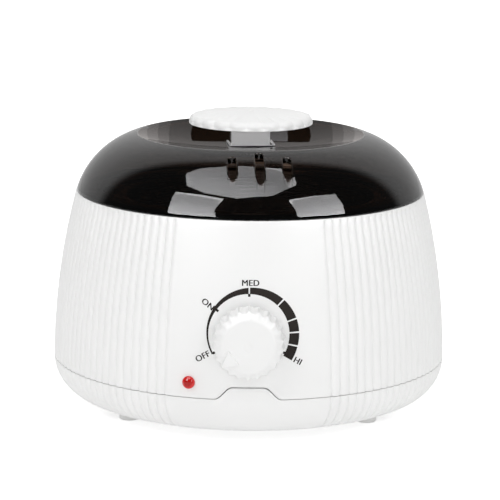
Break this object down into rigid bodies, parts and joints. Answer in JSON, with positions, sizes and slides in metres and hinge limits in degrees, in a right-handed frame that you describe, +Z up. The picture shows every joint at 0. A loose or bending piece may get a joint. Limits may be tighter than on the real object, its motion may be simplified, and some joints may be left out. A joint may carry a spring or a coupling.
{
  "type": "wax warmer",
  "caption": "Round countertop wax warmer with a ribbed white housing, lift-out pot, smoked domed lid with a knob, dial thermostat and red lamp.",
  "frame": {"origin": "the point on the table below the middle of the whole outline, 6.5 mm in front of the well's axis", "axes": "+Z up along the axis of the well, -Y towards the front with the dial, +X to the right seen from the front"},
  "size_m": [0.186, 0.199, 0.1402],
  "materials": {
    "housing_white": "satin moulded ABS",
    "deck_white": "moulded ABS",
    "base_white": "satin moulded ABS",
    "foot_white": "soft white rubber",
    "zinc_screw": "zinc plated",
    "well_aluminium": "spun aluminium",
    "mica": "mica sheet heater",
    "zinc_plate": "zinc plated sheet",
    "shield_aluminium": "bright rolled sheet",
    "fuse_ceramic": "ceramic body",
    "steatite": "matt steatite",
    "tinned_brass": "tinned brass blades",
    "lamp_red": "clear red lens, lit",
    "holder_black": "black nylon",
    "block_cream": "cream nylon",
    "grommet_grey": "white rubber",
    "wire_sleeve": "glass-fibre sleeved leads",
    "knob_white": "glossy moulded ABS",
    "spring_steel": "spring steel",
    "pot_aluminium": "spun aluminium, satin",
    "handle_wire": "plated wire",
    "lid_smoke": "smoked transparent plastic, glossy"
  },
  "bodies": {
    "body": {"main_housing": "housing_white", "housing_ledge": "housing_white", "housing_deck": "deck_white", "base_shell": "base_white", "feet": "foot_white", "case_screws": "zinc_screw", "heating_well": "well_aluminium", "well_screws": "zinc_screw", "heating_element": "mica", "clamp_plate": "zinc_plate", "stud_spacer": "zinc_plate", "heat_shield": "shield_aluminium", "stud_nut": "zinc_screw", "thermal_fuse": "fuse_ceramic", "fuse_clip": "zinc_plate", "thermostat_body": "steatite", "thermostat_terminals": "tinned_brass", "thermostat_screws": "zinc_screw", "indicator_lens": "lamp_red", "lamp_holder": "holder_black", "terminal_block": "block_cream", "terminal_screws": "tinned_brass", "inlet_grommet": "grommet_grey", "cord_clamp": "block_cream", "clamp_screws": "zinc_screw", "inner_wiring": "wire_sleeve"},
    "dial": {"thermostat_shaft": "zinc_plate", "control_knob": "knob_white", "knob_spring": "spring_steel"},
    "pot": {"inner_pot": "pot_aluminium", "pot_floor": "pot_aluminium"},
    "handle": {"pot_handle": "handle_wire"},
    "lid": {"lid_shell": "lid_smoke", "lid_knob": "knob_white"}
  },
  "joints": [
    {"name": "dial_turn", "type": "hinge", "parent": "body", "child": "dial", "pos_m": [0, -0.0867, 0.0499], "axis": [0, 1, 0], "range_deg": [0, 250]},
    {"name": "pot_lift", "type": "slide", "parent": "body", "child": "pot", "axis": [0, 0, 1], "range_m": [0, 0.12]},
    {"name": "lid_lift", "type": "slide", "parent": "pot", "child": "lid", "axis": [0, 0, 1], "range_m": [0, 0.15]},
    {"name": "handle_swing", "type": "hinge", "parent": "pot", "child": "handle", "pos_m": [0, 0.0065, 0.1021], "axis": [1, 0, 0], "range_deg": [0, 90]}
  ],
  "couplings": [
    {"joint": "handle_swing", "follows": "lid_lift", "rad_per_m": 10.47}
  ]
}
